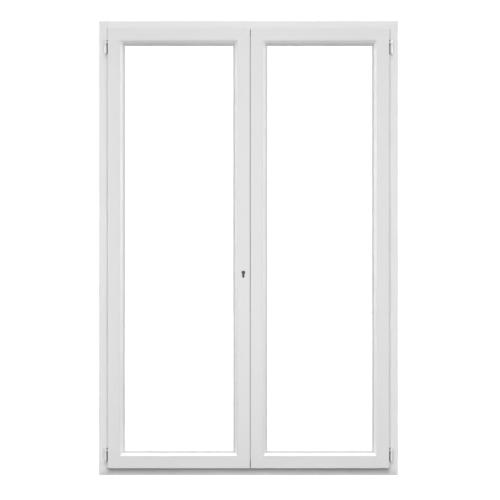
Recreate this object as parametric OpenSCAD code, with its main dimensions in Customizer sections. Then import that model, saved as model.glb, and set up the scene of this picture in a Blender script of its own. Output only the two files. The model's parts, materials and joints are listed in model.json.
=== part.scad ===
// Two-leaf french door set in its frame: hollow white plastic profiles with steel inside,
// double glazing held by clip-in beads, screw-in barrel hinges and a keyed shoot-bolt lock.
// The frame is mitred and goes all the way round, with its lower bar on the floor.
// X runs across the opening, -Y is the room side, Z is up. The origin is on the floor,
// at the middle of the frame's width and depth. Both leaves open towards -Y.

/* [Outer frame] */
// Overall width of the frame
frame_w = 1400; // [1100:10:1700]
// Overall height of the frame
frame_h = 2125; // [1760:5:2560]
// Depth of the frame, room side to outside
frame_d = 70; // [66:1:84]
// Width of the frame bar in front of its rebate
frame_bar = 48; // [46:1:60]
// Width that the rear lip stands further into the opening
lip_w = 20; // [16:1:26]
// Thickness of the rear lip
lip_t = 20; // [16:1:24]
// Thickness of the plastic walls
wall = 3; // [2:0.5:3.5]
// Thickness of the webs between chambers
web = 2; // [1.5:0.5:3]
// Radius of the frame's outer edges
outer_r = 4; // [1:0.5:6]

/* [Leaves] */
// Width that a leaf's flange covers of the jamb
side_overlap = 5; // [5:0.5:8]
// Height that a leaf's flange covers of the head
head_overlap = 10.5; // [8:0.5:14.5]
// Height that a leaf's flange covers of the lower frame bar
sill_overlap = 15; // [8:0.5:15.5]
// Distance of the meeting line from the middle of the frame
seam_shift = 8.5; // [-20:0.5:20]
// Width of the open joint between the two leaf faces
seam_gap = 3.5; // [2:0.5:6]
// Width of the thin flange round a leaf
flange_w = 18; // [15:0.5:20]
// Thickness of the flange
flange_t = 15; // [13:0.5:18]
// Width of the leaf bar behind its face, without the flange
leaf_bar = 38; // [36:1:52]
// Width of the fixed lip behind the glass
glazing_lip = 21; // [18:0.5:24]
// Space left for the seals between leaf and frame
seal_space = 3; // [2.5:0.1:4]
// Space between a seal's lip and the face that it closes on
seal_relief = 0.3; // [0.2:0.05:0.5]
// Radius of the leaf's visible edge
edge_r = 1.5; // [1:0.5:4]
// Width of the weld groove on the mitres
weld_w = 1.2; // [0.3:0.1:1.5]
// Depth of the weld groove
weld_t = 0.6; // [0.2:0.1:0.6]

/* [Glazing] */
// Thickness of one glass pane
pane_t = 4; // [3:1:6]
// Width of the space between the panes
cavity_t = 16; // [10:1:18]
// Depth of the glass edge behind the leaf bar's side
glass_gap = 6; // [4:0.5:8]
// Width of a bead, from the leaf bar to its front edge
bead_w = 15.5; // [13:0.5:20]
// Width of gasket seen past the bead
gasket_w = 7.5; // [4:0.5:9]
// Thickness of the gasket on the room side of the glass
bead_gasket_t = 3; // [2:0.5:4]
// Thickness of the gasket on the outer side of the glass
lip_gasket_t = 2; // [1.5:0.5:3]
// Width of the spacer bar between the panes
spacer_w = 11; // [8:0.5:14]
// Length of a glazing block
block_l = 100; // [60:5:120]

/* [Hinges] */
// Radius of a hinge barrel
barrel_r = 6; // [5.5:0.5:7.5]
// Space between the barrel and the leaf's edge
barrel_gap = 5; // [1:0.1:5]
// Height of the long knuckle on the frame
frame_knuckle_h = 40; // [36:1:50]
// Height of the short knuckle on the leaf
leaf_knuckle_h = 20; // [16:1:26]
// Thickness of the washer between the knuckles
washer_t = 1.7; // [1:0.1:2.5]
// Radius of the hinge pin
pin_r = 3; // [2.5:0.25:3.75]
// Radius of the screw-in studs
stud_r = 3.5; // [3:0.25:4.25]
// Radial clearance of a running fit
run_fit = 0.05; // [0.02:0.01:0.1]
// Clearance round parts that are fixed in a hole or pocket
fixed_fit = 0.1; // [0.05:0.05:0.3]
// Height of the lower hinges' underside above the floor
low_hinge_z = 65; // [60:1:200]
// Distance of the upper hinges' top below the frame's top
top_hinge_drop = 93; // [80:1:220]

/* [Lock] */
// Height of the key's axis above the floor
key_z = 947; // [850:1:1100]
// Distance of the key's axis from the leaf's edge
key_backset = 30.7; // [28.5:0.1:34]
// Radius of the lock cylinder's round part
cylinder_r = 8.5; // [8:0.25:9]
// Width of the lock cylinder's lower leg
cylinder_leg_w = 10; // [9:0.5:11]
// Height of the lock cylinder
cylinder_h = 33; // [30:0.5:34]
// Depth of the cylinder's face behind the leaf's face
cylinder_recess = 3.5; // [1:0.5:5]
// Radius of the turning plug
plug_r = 6.5; // [5:0.25:7]
// Space round the cylinder in the leaf's face
keyhole_relief = 0.6; // [0.3:0.1:1.5]
// Height of the lock case
case_h = 180; // [160:5:220]
// Width of the lock case across the leaf
case_w = 48.5; // [46:0.5:50]
// Thickness of the lock case
case_t = 16; // [15:0.5:17]
// Thickness of the lock case's sheet
case_wall = 1.5; // [1:0.25:2]
// Thickness of the faceplate
faceplate_t = 2.5; // [2:0.25:3]
// Height of the deadbolt
deadbolt_h = 24; // [20:1:30]
// Thickness of the deadbolt
deadbolt_t = 10; // [8:0.5:10]
// Height of the deadbolt's middle above the key's axis
deadbolt_rise = 60; // [50:1:64]
// Travel of the deadbolt and the shoot bolts
bolt_throw = 17; // [14:1:17]
// Radius of a shoot bolt
bolt_r = 3.5; // [3:0.25:4]
// Space round a shoot bolt in the hole that it enters
keep_relief = 1; // [0.75:0.25:1.5]

/* [Fixings] */
// Radius of the fixing holes through the jambs
fixing_r = 5; // [3:0.5:6]
// Number of fixing holes in each jamb
fixing_count = 4; // [3:1:5]
// Distance of the outermost fixing holes from the frame's ends
fixing_margin = 200; // [150:10:300]

/* [Hidden] */

left = -1;
right = 1;
over = 1; // how far a cutting body runs past the face it cuts
round_fn = 48;

// Depths in the frame, from its room face
frame_front_y = -frame_d / 2;
lip_front = frame_d - lip_t;
frame_reach = frame_bar + lip_w;
fixing_pitch = (frame_h - 2 * fixing_margin) / (fixing_count - 1);

// Frame that shows beside, above and below the leaves
side_reveal = frame_bar - side_overlap;
head_reveal = frame_bar - head_overlap;
sill_reveal = frame_bar - sill_overlap;

// Leaf: x from its hinge edge, y from its room face, z from its lower edge
leaf_d = flange_t + lip_front;
leaf_y = frame_front_y - seal_space - flange_t;
leaf_edge_x = frame_w / 2 - side_reveal;
leaf_h = frame_h - head_reveal - sill_reveal;
left_w = leaf_edge_x + seam_shift - seam_gap / 2;
right_w = leaf_edge_x - seam_shift - seam_gap / 2;
bar_in = flange_w + leaf_bar; // the bar's side that faces the glass
sight = bar_in + glazing_lip; // the free edge of the fixed glazing lip

// Glazing, as depths from the leaf's room face
lip_y = leaf_d - 13;
outer_pane_y = lip_y - lip_gasket_t - pane_t;
inner_pane_y = outer_pane_y - cavity_t - pane_t;
bead_back = inner_pane_y - bead_gasket_t;
glass_in = bar_in + glass_gap;
bead_in = bar_in + bead_w;
ring_reach = max(sight, bead_in) + gasket_w;

// Chambers
front_web = 13;
steel_back = lip_y - wall;
steel_t = 1.5;
steel_fit = 0.5;
frame_front_web = 14;

// Hinges
barrel_setback = 1; // of the barrel behind the leaf's face
axis_x = leaf_edge_x + barrel_gap + barrel_r;
axis_y = leaf_y + barrel_r + barrel_setback;
hinge_h = frame_knuckle_h + washer_t + seal_relief + leaf_knuckle_h;
hinge_zs = [low_hinge_z, frame_h - top_hinge_drop - hinge_h];
stud_into_frame = frame_front_web + 2.5;
stud_into_leaf = 40;

// Meeting profile, x measured from the leaf's meeting edge
meet_reach = seam_gap / 2 - 2;
meet_front = flange_t + 4;
groove_front = 34;
groove_back = groove_front + case_t;
plate_in = meet_reach - faceplate_t;
meet_wall = 2;
bolt_x = (plate_in - meet_wall - flange_w + meet_wall) / 2;
bolt_y = (groove_front + groove_back) / 2;
guide_h = 12;
bolt_rest = 1; // how far a withdrawn shoot bolt stays inside its guide
keep_hole_r = bolt_r + keep_relief;
flush_bolt_l = 260;
tab_w = 6;
tab_h = 14;
tab_z = 180;
tab_relief = 0.75;

// Lock, z measured from the leaf's lower edge
key_up = key_z - sill_reveal;
case_low = key_up - 0.53 * case_h;
deadbolt_z = key_up + deadbolt_rise;
faceplate_margin = 300;
cam_r = 12.5;
key_slot_h = 8;
key_slot_w = 1.8;
steel_gap = 20;

// ---------- Helpers ----------

function arc(c, r, a0, a1, n = 6) =
    [for (i = [0:n]) let (a = a0 + (a1 - a0) * i / n) [c[0] + r * cos(a), c[1] + r * sin(a)]];

module box_between(a, b) translate(a) cube(b - a);

module rect_between(a, b) translate(a) square(b - a);

module swap_xz() mirror([1, 0, 0]) rotate([0, -90, 0]) children();

module along_x(x0, x1) translate([x0, 0, 0]) rotate([90, 0, 90]) linear_extrude(x1 - x0) children();

module along_y(y0, y1) translate([0, y1, 0]) rotate([90, 0, 0]) linear_extrude(y1 - y0) children();

// A bar along X whose section lies in z (from its outer edge) and y (depth), with mitred ends
module mitred_bar(length, reach, y0, y1) intersection() {
    swap_xz() linear_extrude(length) children();
    along_y(y0, y1) polygon([[0, 0], [length, 0], [length - reach, reach], [reach, reach]]);
}

// The fine groove that the cleaned weld leaves along a mitre
module weld_groove(reach) rotate([0, -45, 0])
    box_between([0, -over, -weld_w / 2], [reach * sqrt(2), weld_t, weld_w / 2]);

// ---------- Outer frame ----------

module frame_outline() polygon(concat(
    arc([outer_r, outer_r], outer_r, 180, 270),
    arc([frame_bar - 2, 2], 2, -90, 0),
    [[frame_bar, lip_front], [frame_reach - 1, lip_front], [frame_reach, lip_front + 1],
     [frame_reach, frame_d - 12], [frame_reach - 5, frame_d]],
    arc([outer_r, frame_d - outer_r], outer_r, 90, 180)
));

module frame_section() difference() {
    frame_outline();
    rect_between([wall, wall], [frame_bar - wall, frame_front_web]);
    rect_between([wall, frame_front_web + wall], [frame_bar - wall, lip_front - wall]);
    rect_between([wall, lip_front], [frame_bar - wall, frame_d - wall]);
    polygon([
        [frame_bar, lip_front + wall], [frame_reach - wall, lip_front + wall],
        [frame_reach - wall, frame_d - 12], [frame_reach - 5 - web, frame_d - wall],
        [frame_bar, frame_d - wall]
    ]);
}

module jamb_steel_section() difference() {
    rect_between([wall + steel_fit, frame_front_web + wall + steel_fit],
                 [frame_bar - wall - steel_fit, lip_front - wall - steel_fit]);
    rect_between([wall + steel_fit + steel_t, frame_front_web + wall + steel_fit + steel_t],
                 [frame_bar - wall - steel_fit - steel_t, lip_front - wall - steel_fit - steel_t]);
}

fixing_y = (frame_front_web + lip_front) / 2; // the middle of the steel

module fixing_holes() for (i = [0:fixing_count - 1])
    translate([-over, fixing_y, fixing_margin + i * fixing_pitch]) rotate([0, 90, 0])
        cylinder(h = frame_bar + 2 * over, r = fixing_r, $fn = round_fn);

frame_stud_places = [0.24, 0.76]; // along the frame knuckle, as parts of its height

module at_frame_studs(z) for (k = frame_stud_places)
    translate([axis_x, axis_y, z + k * frame_knuckle_h]) rotate([-90, 0, 0]) children();

module frame_stud(r)
    cylinder(h = frame_front_y + stud_into_frame - axis_y, r = r, $fn = round_fn);

module jamb() difference() {
    translate([-frame_w / 2, frame_front_y, 0]) difference() {
        swap_xz() difference() {
            mitred_bar(frame_h, frame_reach, 0, frame_d) frame_section();
            weld_groove(frame_bar);
            translate([frame_h, 0, 0]) mirror([1, 0, 0]) weld_groove(frame_bar);
        }
        fixing_holes();
    }
    mirror([1, 0, 0]) for (z = hinge_zs) at_frame_studs(z) frame_stud(stud_r + fixed_fit);
}

module left_jamb() color("white") jamb();

module right_jamb() color("white") mirror([1, 0, 0]) jamb();

// Places of the shoot bolts: left leaf's and right leaf's
bolt_xs = [-leaf_edge_x + left_w + bolt_x, leaf_edge_x - right_w - bolt_x];

// Holes for the shoot bolts in a cross bar lying along X with its outer edge at z = 0
module bolt_holes(u0, u1) for (x = bolt_xs)
    translate([x + frame_w / 2, leaf_y + bolt_y - frame_front_y, u0])
        cylinder(h = u1 - u0, r = keep_hole_r, $fn = round_fn);

module cross_bar() difference() {
    mitred_bar(frame_w, frame_reach, 0, frame_d) frame_section();
    weld_groove(frame_bar);
    translate([frame_w, 0, 0]) mirror([1, 0, 0]) weld_groove(frame_bar);
    bolt_holes(2 * wall, frame_bar + over);
}

module cross_steel() difference() {
    translate([frame_bar, 0, 0]) swap_xz()
        linear_extrude(frame_w - 2 * frame_bar) jamb_steel_section();
    bolt_holes(4 * wall, frame_bar);
}

module at_sill() translate([-frame_w / 2, frame_front_y, 0]) children();

module at_head() translate([-frame_w / 2, frame_front_y, frame_h]) mirror([0, 0, 1]) children();

module head() color("white") at_head() cross_bar();

// Slots that let water out of the lower bar: from its rebate, and through its outer face
drain_xs = [for (k = [0.2, 0.5, 0.8]) k * frame_w];
drain_w = 30;
drain_h = 5;
drain_z = 22;
cap_edge = 2;
cap_t = 4.5;
cap_h = 14;
cap_drop = 4; // how far a cap reaches below its slot

module sill() color("white") at_sill() difference() {
    cross_bar();
    for (x = drain_xs) {
        translate([x - drain_w / 2, lip_front - 3 * wall, frame_bar - wall - over])
            cube([drain_w, drain_h, wall + 2 * over]);
        translate([x - drain_w / 2, frame_d - wall - over, drain_z])
            cube([drain_w, wall + 2 * over, drain_h]);
    }
}

// Hooded caps over the outer drain slots, open at their lower edge
module drain_caps() color("white") at_sill() for (x = drain_xs)
    translate([x - drain_w / 2, frame_d, drain_z - cap_drop]) difference() {
        translate([-3 * cap_edge, 0, 0]) cube([drain_w + 6 * cap_edge, cap_t, cap_h]);
        translate([-2 * cap_edge, -over, -over])
            cube([drain_w + 4 * cap_edge, cap_t - cap_edge + over, cap_h - cap_edge + over]);
    }

module frame_steels() color("silver") {
    for (side = [0, 1]) mirror([side, 0, 0]) at_sill() difference() {
        translate([0, 0, frame_bar]) linear_extrude(frame_h - 2 * frame_bar) jamb_steel_section();
        fixing_holes();
    }
    at_sill() cross_steel();
    at_head() cross_steel();
}

// Lip seal in the rear rebate, against the outer face of the leaves
module rear_seal_section() polygon([
    [frame_reach - 7, lip_front], [frame_reach - 7, lip_front - 1],
    [frame_reach - 4, lip_front - seal_space + seal_relief],
    [frame_reach - 2.5, lip_front - seal_space + seal_relief],
    [frame_reach - 1.5, lip_front - 1], [frame_reach - 1.5, lip_front]
]);

module frame_seal() color("dimgray") {
    for (side = [0, 1]) mirror([side, 0, 0]) at_sill() swap_xz()
        mitred_bar(frame_h, frame_reach, 0, frame_d) rear_seal_section();
    at_head() mitred_bar(frame_w, frame_reach, 0, frame_d) rear_seal_section();
    at_sill() mitred_bar(frame_w, frame_reach, 0, frame_d) rear_seal_section();
}

// ---------- Keeps ----------

keep_t = 1.5;
keep_l = 18;
keep_screw_r = 1.2;
keep_screw_x = keep_l / 2 - 2.2;
keep_screw_y = 2.5 - case_t / 2;
keep_screw_head = 0.6;
keep_screw_head_r = 2;

module keep_plate() difference() {
    translate([-keep_l / 2, -case_t / 2, 0]) cube([keep_l, case_t, keep_t]);
    translate([0, 0, -over]) cylinder(h = keep_t + 2 * over, r = keep_hole_r, $fn = round_fn);
    for (x = [-keep_screw_x, keep_screw_x]) translate([x, keep_screw_y, -over])
        cylinder(h = keep_t + 2 * over, r = keep_screw_r + fixed_fit, $fn = round_fn);
}

module at_keeps() for (x = bolt_xs) {
    translate([x, leaf_y + bolt_y, frame_bar]) children();
    translate([x, leaf_y + bolt_y, frame_h - frame_bar]) mirror([0, 0, 1]) children();
}

module bolt_keeps() color("silver") at_keeps() keep_plate();

module keep_screws() color("silver") at_keeps() for (x = [-keep_screw_x, keep_screw_x])
    translate([x, keep_screw_y, 0]) {
        cylinder(h = keep_t, r = keep_screw_r, $fn = round_fn);
        translate([0, 0, keep_t]) cylinder(h = keep_screw_head, r = keep_screw_head_r, $fn = round_fn);
    }

// ---------- Hinges ----------

knuckle_edge = 1;
pin_low = 6; // end of the pin above the hinge's underside
pin_drop = 5; // end of the pin below the hinge's top
pin_h = hinge_h - pin_low - pin_drop;
washer_step = 0.8;

module knuckle(h) rotate_extrude($fn = round_fn) polygon([
    [0, 0], [barrel_r - knuckle_edge, 0], [barrel_r, knuckle_edge], [barrel_r, h - knuckle_edge],
    [barrel_r - knuckle_edge, h], [0, h]
]);

module frame_knuckles() color("whitesmoke") for (side = [0, 1]) mirror([side, 0, 0])
    for (z = hinge_zs) difference() {
        union() {
            translate([axis_x, axis_y, z]) knuckle(frame_knuckle_h);
            at_frame_studs(z) frame_stud(stud_r);
        }
        translate([axis_x, axis_y, z + pin_low])
            cylinder(h = frame_knuckle_h, r = pin_r + run_fit / 2, $fn = round_fn);
    }

// Thin plates on the jambs behind the barrels, reaching a little below them
base_plate_t = 1.5;
base_plate_w = 13;
base_plate_drop = 1;
base_plate_gap = 0.5; // beside the leaf's edge

module hinge_base_plates() color("dimgray") for (side = [0, 1]) mirror([side, 0, 0])
    for (z = hinge_zs) difference() {
        translate([leaf_edge_x + base_plate_gap, frame_front_y - base_plate_t,
                   z - base_plate_drop])
            cube([base_plate_w, base_plate_t, hinge_h + base_plate_drop]);
        at_frame_studs(z) frame_stud(stud_r + fixed_fit);
    }

module hinge_pins() color("silver") for (side = [0, 1]) mirror([side, 0, 0])
    for (z = hinge_zs) translate([axis_x, axis_y, z + pin_low])
        cylinder(h = pin_h, r = pin_r, $fn = round_fn);

module hinge_washers() color("gainsboro") for (side = [0, 1]) mirror([side, 0, 0])
    for (z = hinge_zs) translate([axis_x, axis_y, z + frame_knuckle_h]) difference() {
        cylinder(h = washer_t, r = barrel_r - washer_step, $fn = round_fn);
        translate([0, 0, -over])
            cylinder(h = washer_t + 2 * over, r = pin_r + fixed_fit, $fn = round_fn);
    }

// ---------- Leaf profiles, in the leaf's own directions ----------

module place_leaf(side) translate([side * leaf_edge_x, leaf_y, sill_reveal])
    mirror([side == right ? 1 : 0, 0, 0]) children();

module leaf_section() difference() {
    polygon(concat(
        arc([edge_r, edge_r], edge_r, 180, 270),
        [[bar_in - 0.6, 0], [bar_in, 0.6], [bar_in, lip_y], [sight, lip_y],
         [sight, leaf_d - 6], [sight - 7, leaf_d], [flange_w + 2, leaf_d],
         [flange_w, leaf_d - 2], [flange_w, flange_t], [1, flange_t], [0, flange_t - 1]]
    ));
    rect_between([wall, wall], [flange_w + wall - web, flange_t - wall]);
    rect_between([flange_w + wall, wall], [bar_in - wall, front_web]);
    rect_between([flange_w + wall, front_web + web], [bar_in - wall, steel_back]);
    rect_between([flange_w + wall, steel_back + web], [bar_in - wall, leaf_d - wall]);
    polygon([
        [bar_in - wall + web, lip_y + web], [sight - web, lip_y + web],
        [sight - web, leaf_d - 6.5], [sight - 7.5, leaf_d - wall],
        [bar_in - wall + web, leaf_d - wall]
    ]);
}

module leaf_steel_section() difference() {
    rect_between([flange_w + wall + steel_fit, front_web + web + steel_fit],
                 [bar_in - wall - steel_fit, steel_back - steel_fit]);
    rect_between([flange_w + wall + steel_fit + steel_t, front_web + web + steel_fit + steel_t],
                 [bar_in - wall - steel_fit - steel_t, steel_back - steel_fit - steel_t]);
}

module leaf_profile(length) difference() {
    mitred_bar(length, sight, 0, leaf_d) leaf_section();
    weld_groove(bar_in);
    translate([length, 0, 0]) mirror([1, 0, 0]) weld_groove(bar_in);
}

module on_top() translate([0, 0, leaf_h]) mirror([0, 0, 1]) children();

module on_hinge_side() swap_xz() children();

module on_meeting_side(w) translate([w, 0, 0]) mirror([1, 0, 0]) swap_xz() children();

// A ring of four mitred bars with one section, such as a gasket
module leaf_ring(w) {
    mitred_bar(w, ring_reach, 0, leaf_d) children();
    on_top() mitred_bar(w, ring_reach, 0, leaf_d) children();
    on_hinge_side() mitred_bar(leaf_h, ring_reach, 0, leaf_d) children();
    on_meeting_side(w) mitred_bar(leaf_h, ring_reach, 0, leaf_d) children();
}

module leaf_studs(r) for (z = hinge_zs)
    translate([-barrel_gap - barrel_r, axis_y - leaf_y,
               z - sill_reveal + hinge_h - leaf_knuckle_h / 2])
        rotate([0, 90, 0]) cylinder(h = stud_into_leaf + barrel_gap + barrel_r, r = r,
                                    $fn = round_fn);

module hinge_stile() difference() {
    on_hinge_side() leaf_profile(leaf_h);
    leaf_studs(stud_r + fixed_fit);
}

module meeting_stile(w) on_meeting_side(w) leaf_profile(leaf_h);

module bottom_rail(w) difference() {
    leaf_profile(w);
    for (x = [0.3 * w, 0.7 * w]) {
        translate([x - drain_w / 2, inner_pane_y + pane_t, bar_in - wall - over])
            cube([drain_w, drain_h, wall + 2 * over]);
        translate([x - 2 * drain_w, leaf_d - wall - over, flange_w + wall + web])
            cube([drain_w, wall + 2 * over, drain_h]);
    }
}

module top_rail(w) on_top() leaf_profile(w);

// Steel tubes: rails and hinge stile whole, the meeting stile in one or two lengths
module steels(w, with_lock) {
    tube_end = sight + 2;
    linear_part = leaf_h - 2 * tube_end;
    translate([tube_end, 0, 0]) swap_xz() linear_extrude(w - 2 * tube_end) leaf_steel_section();
    on_top() translate([tube_end, 0, 0]) swap_xz()
        linear_extrude(w - 2 * tube_end) leaf_steel_section();
    difference() {
        translate([0, 0, tube_end]) linear_extrude(linear_part) leaf_steel_section();
        leaf_studs(stud_r + fixed_fit);
    }
    translate([w, 0, tube_end]) mirror([1, 0, 0]) difference() {
        linear_extrude(linear_part) leaf_steel_section();
        if (with_lock) translate([0, 0, case_low - steel_gap - tube_end])
            cube([bar_in, leaf_d, case_h + 2 * steel_gap]);
    }
}

// Clip-in bead: a flat edge beside the bar, a long bevel and a short nose over the gasket
module bead_section() difference() {
    polygon([
        [bar_in, 1.6], [bar_in + 0.9, 0.5], [bar_in + 2.2, 0.5], [bead_in - 1.6, bead_back - 8],
        [bead_in, bead_back - 5.5], [bead_in, bead_back], [bar_in, bead_back]
    ]);
    polygon([
        [bar_in + web, 5], [bar_in + web + 1, 5], [bead_in - 4, bead_back - 7],
        [bead_in - 4, bead_back - web], [bar_in + web, bead_back - web]
    ]);
}

module beads(w) leaf_bead_ring(w) bead_section();

// The same ring as for a gasket, with a hairline open at each corner between the four beads
module leaf_bead_ring(w) {
    hairline = 0.15;
    for (end = [0, 1]) translate([0, 0, end * leaf_h]) mirror([0, 0, end])
        translate([hairline, 0, 0])
            mitred_bar(w - 2 * hairline, ring_reach, 0, leaf_d) children();
    on_hinge_side() mitred_bar(leaf_h, ring_reach, 0, leaf_d) children();
    on_meeting_side(w) mitred_bar(leaf_h, ring_reach, 0, leaf_d) children();
}

module bead_gasket_section() polygon([
    [bead_in - 7, bead_back], [bead_in, bead_back], [bead_in, bead_back - 2],
    [bead_in + 1.2, bead_back - 2.4], [bead_in + gasket_w, inner_pane_y - 1.2],
    [bead_in + gasket_w, inner_pane_y], [bead_in - 7, inner_pane_y]
]);

module lip_gasket_section() polygon([
    [sight - 9, lip_y - lip_gasket_t], [sight + 2, lip_y - lip_gasket_t],
    [sight + 2, lip_y - lip_gasket_t + 1], [sight + 0.8, lip_y + 1],
    [sight, lip_y + 1], [sight, lip_y], [sight - 9, lip_y]
]);

module pane(w, y) box_between([glass_in, y, glass_in], [w - glass_in, y + pane_t, leaf_h - glass_in]);

module spacer(w) leaf_ring(w) difference() {
    y0 = inner_pane_y + pane_t;
    rect_between([glass_in + 1, y0], [glass_in + 1 + spacer_w, outer_pane_y]);
    rect_between([glass_in + 2, y0 + 1], [glass_in + spacer_w, outer_pane_y - 1]);
}

// Blocks that carry the glass: under it, and beside it near the hinges and the lock
block_inset = 60;

module glazing_blocks(w) {
    y0 = inner_pane_y;
    y1 = outer_pane_y + pane_t;
    near = glass_in + block_inset;
    for (x = [near, w - near - block_l])
        box_between([x, y0, bar_in], [x + block_l, y1, glass_in]);
    for (z = [near, leaf_h - near - block_l]) {
        box_between([bar_in, y0, z], [glass_in, y1, z + block_l]);
        box_between([w - glass_in, y0, z], [w - bar_in, y1, z + block_l]);
    }
    box_between([near, y0, leaf_h - glass_in], [near + block_l, y1, leaf_h - bar_in]);
}

// Seal under the flange: hinge side, top and bottom, stopping short of the meeting edge
module leaf_seal(w) {
    seal_stop = 20;
    intersection() {
        leaf_ring(w) polygon([
            [1, flange_t], [1.5, flange_t + 1], [2.5, flange_t + seal_space - seal_relief],
            [4, flange_t + seal_space - seal_relief], [5, flange_t + 1], [5.5, flange_t]
        ]);
        box_between([0, 0, 0], [w - seal_stop, leaf_d, leaf_h]);
    }
}

module leaf_knuckles() for (z = hinge_zs) difference() {
    union() {
        translate([-barrel_gap - barrel_r, axis_y - leaf_y,
                   z - sill_reveal + hinge_h - leaf_knuckle_h]) knuckle(leaf_knuckle_h);
        translate([-barrel_gap - barrel_r, axis_y - leaf_y,
                   z - sill_reveal + hinge_h - leaf_knuckle_h / 2]) rotate([0, 90, 0])
            cylinder(h = stud_into_leaf + barrel_gap + barrel_r, r = stud_r, $fn = round_fn);
    }
    translate([-barrel_gap - barrel_r, axis_y - leaf_y,
               z - sill_reveal + hinge_h - leaf_knuckle_h - over])
        cylinder(h = pin_h + pin_low - hinge_h + leaf_knuckle_h + 2 * over, r = pin_r + run_fit,
                 $fn = round_fn);
}

// Bar that throws the rain off the leaf, with a drip groove under its nose
weather_z = 52;
weather_end = 4;

module weather_bar(w) along_x(frame_reach - side_reveal + weather_end, w - weather_end)
    translate([leaf_d, weather_z]) polygon([
        [0, 0], [13, 0], [13, 2], [11, 2], [11, 5], [15, 5], [15, 9], [2, 20], [0, 20]
    ]);

// ---------- Meeting profiles and what they hold ----------

module meeting_section() difference() {
    rect_between([-flange_w, meet_front], [meet_reach, leaf_d]);
    rect_between([-flange_w + meet_wall, meet_front + meet_wall],
                 [meet_reach - meet_wall, groove_front - meet_wall]);
    rect_between([-flange_w + meet_wall, groove_front + meet_wall],
                 [plate_in - meet_wall, groove_back - meet_wall]);
    rect_between([-flange_w + meet_wall, groove_back + meet_wall],
                 [meet_reach - meet_wall, leaf_d - meet_wall]);
    rect_between([plate_in, groove_front], [meet_reach + over, groove_back]);
}

module meeting_profile(w) translate([w, 0, flange_w])
    linear_extrude(leaf_h - 2 * flange_w) meeting_section();

seal_root = 9;

module meeting_seal(w) translate([w, 0, flange_w]) linear_extrude(leaf_h - 2 * flange_w)
    polygon([
        [-seal_root, flange_t], [seam_gap / 2 - 1.2, flange_t + 0.4],
        [seam_gap / 2 - seal_relief, flange_t + 1.2], [seam_gap / 2 - seal_relief, flange_t + 2.2],
        [meet_reach - 1, meet_front], [-seal_root, meet_front]
    ]);

module bolt_guides(w) for (z = [flange_w, leaf_h - flange_w - guide_h])
    translate([w, 0, z]) difference() {
        box_between([-flange_w + meet_wall, groove_front + meet_wall, 0],
                    [plate_in - meet_wall, groove_back - meet_wall, guide_h]);
        translate([bolt_x, bolt_y, -over])
            cylinder(h = guide_h + 2 * over, r = bolt_r + run_fit, $fn = round_fn);
    }

module lock_pocket(grow) translate([left_w, 0, 0])
    box_between([plate_in - case_w - grow, groove_front - grow, case_low - grow],
                [plate_in, groove_back + grow, case_low + case_h + grow]);

module cylinder_outline(grow) {
    leg_r = cylinder_leg_w / 2 + grow;
    leg_z = cylinder_r - cylinder_h + cylinder_leg_w / 2;
    circle(r = cylinder_r + grow, $fn = round_fn);
    rect_between([-leg_r, leg_z], [leg_r, 0]);
    translate([0, leg_z]) circle(r = leg_r, $fn = round_fn);
}

module at_key() translate([left_w - key_backset, 0, key_up]) children();

module left_lock_stile() color("white") place_leaf(left) difference() {
    meeting_stile(left_w);
    lock_pocket(fixed_fit);
    at_key() along_y(-over, groove_front) cylinder_outline(keyhole_relief);
}

module left_meeting_profile() color("white") place_leaf(left) difference() {
    meeting_profile(left_w);
    lock_pocket(fixed_fit);
    translate([left_w, 0, 0]) deadbolt_window();
}

// Opening for the deadbolt, through everything between two depths from the meeting edge
deadbolt_fit = 0.3;
deadbolt_relief = 0.5;

module deadbolt_opening(x0, x1, fit) translate([0, 0, deadbolt_z])
    box_between([x0, bolt_y - deadbolt_t / 2 - fit, -deadbolt_h / 2 - fit],
                [x1, bolt_y + deadbolt_t / 2 + fit, deadbolt_h / 2 + fit]);

module deadbolt_window() deadbolt_opening(plate_in - 3 * meet_wall, meet_reach + over,
                                          deadbolt_relief);

module lock_case() color("silver") place_leaf(left) difference() {
    lock_pocket(0);
    lock_pocket(-case_wall);
    at_key() along_y(0, groove_front + case_wall + over) circle(r = plug_r + 0.5, $fn = round_fn);
    translate([left_w, 0, 0])
        deadbolt_opening(plate_in - case_wall - over, plate_in + over, deadbolt_fit);
}

module lock_faceplate() color("silver") place_leaf(left) translate([left_w, 0, 0]) difference() {
    box_between([plate_in, groove_front + fixed_fit, faceplate_margin],
                [meet_reach, groove_back - fixed_fit, leaf_h - faceplate_margin]);
    deadbolt_opening(plate_in - over, meet_reach + over, deadbolt_fit);
    for (z = plate_screw_zs) translate([plate_in - over, bolt_y, z]) rotate([0, 90, 0])
        cylinder(h = faceplate_t + 2 * over, r = plate_screw_r + fixed_fit, $fn = round_fn);
}

// Faceplate screws: beside the lock case, at the plate's ends and halfway between
case_screw_gap = 15;
end_screw_gap = 20;
under_case = case_low - case_screw_gap;
above_case = case_low + case_h + case_screw_gap;
plate_low = faceplate_margin + end_screw_gap;
plate_high = leaf_h - faceplate_margin - end_screw_gap;
plate_screw_zs = [plate_low, (plate_low + under_case) / 2, under_case,
                  above_case, (above_case + plate_high) / 2, plate_high];
plate_screw_r = 2;

module faceplate_screws() color("silver") place_leaf(left) translate([left_w, 0, 0])
    for (z = plate_screw_zs) translate([plate_in, bolt_y, z]) rotate([0, 90, 0])
        cylinder(h = faceplate_t - 0.3, r = plate_screw_r, $fn = round_fn);

module cylinder_body() color("silver") place_leaf(left) at_key() difference() {
    along_y(cylinder_recess, groove_front) cylinder_outline(0);
    along_y(cylinder_recess - over, groove_front + over)
        circle(r = plug_r + run_fit, $fn = round_fn);
}

cam_w = 6;
cam_y0 = bolt_y - 5;
cam_y1 = bolt_y + 5;
key_slot_depth = 22;
key_slot_drop = 1; // how far the slot's middle lies below the key's axis

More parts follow.
